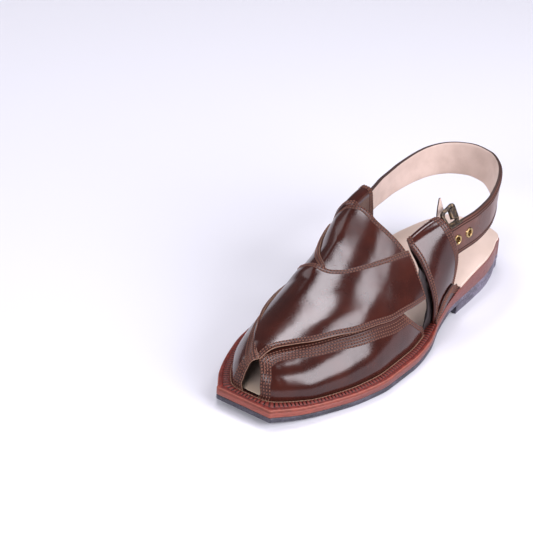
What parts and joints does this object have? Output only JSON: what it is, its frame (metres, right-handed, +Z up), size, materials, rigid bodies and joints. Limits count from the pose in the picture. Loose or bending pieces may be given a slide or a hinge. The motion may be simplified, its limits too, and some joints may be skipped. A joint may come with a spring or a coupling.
{
  "type": "peshawari chappal",
  "caption": "Left open-toed leather sandal with a crossed vamp, looped side bands, a buckled back strap with eyelets and a low stacked heel.",
  "frame": {"origin": "the middle of the box round the shoe, on the floor that it stands on", "axes": "+X to the outer side of the foot, where the buckle is; the toe points to -Y; +Z up"},
  "size_m": [0.1134, 0.294, 0.0947],
  "materials": {
    "rubber": "black moulded rubber, satin, slightly dusty",
    "midsole_leather": "stained and waxed cut edge of board and leather, mahogany to orange red",
    "welt_leather": "dark red vegetable-tanned strip with a ribbed, stitched inner half",
    "insole_leather": "smooth matt beige lining leather",
    "upper_leather": "dark chestnut brush-off leather with a high polish, stitched in brown thread",
    "apron_leather": "dark red-brown leather, rough and closely stitched",
    "strap_leather": "polished brown leather with a pale pink-beige lining",
    "brass": "pressed brass, slightly tarnished",
    "antique_metal": "antique brass plating, dark in the hollows and worn on the edges"
  },
  "bodies": {
    "root": {"outsole": "rubber", "heel_block": "rubber", "midsole": "midsole_leather", "welt": "welt_leather", "insole": "insole_leather", "upper": "upper_leather", "lateral_band": "upper_leather", "medial_band": "upper_leather", "lateral_apron": "apron_leather", "back_strap": "strap_leather", "strap_tip": "strap_leather", "eyelet_1": "brass", "eyelet_2": "brass", "buckle_frame": "antique_metal", "buckle_prong": "antique_metal"}
  },
  "joints": []
}
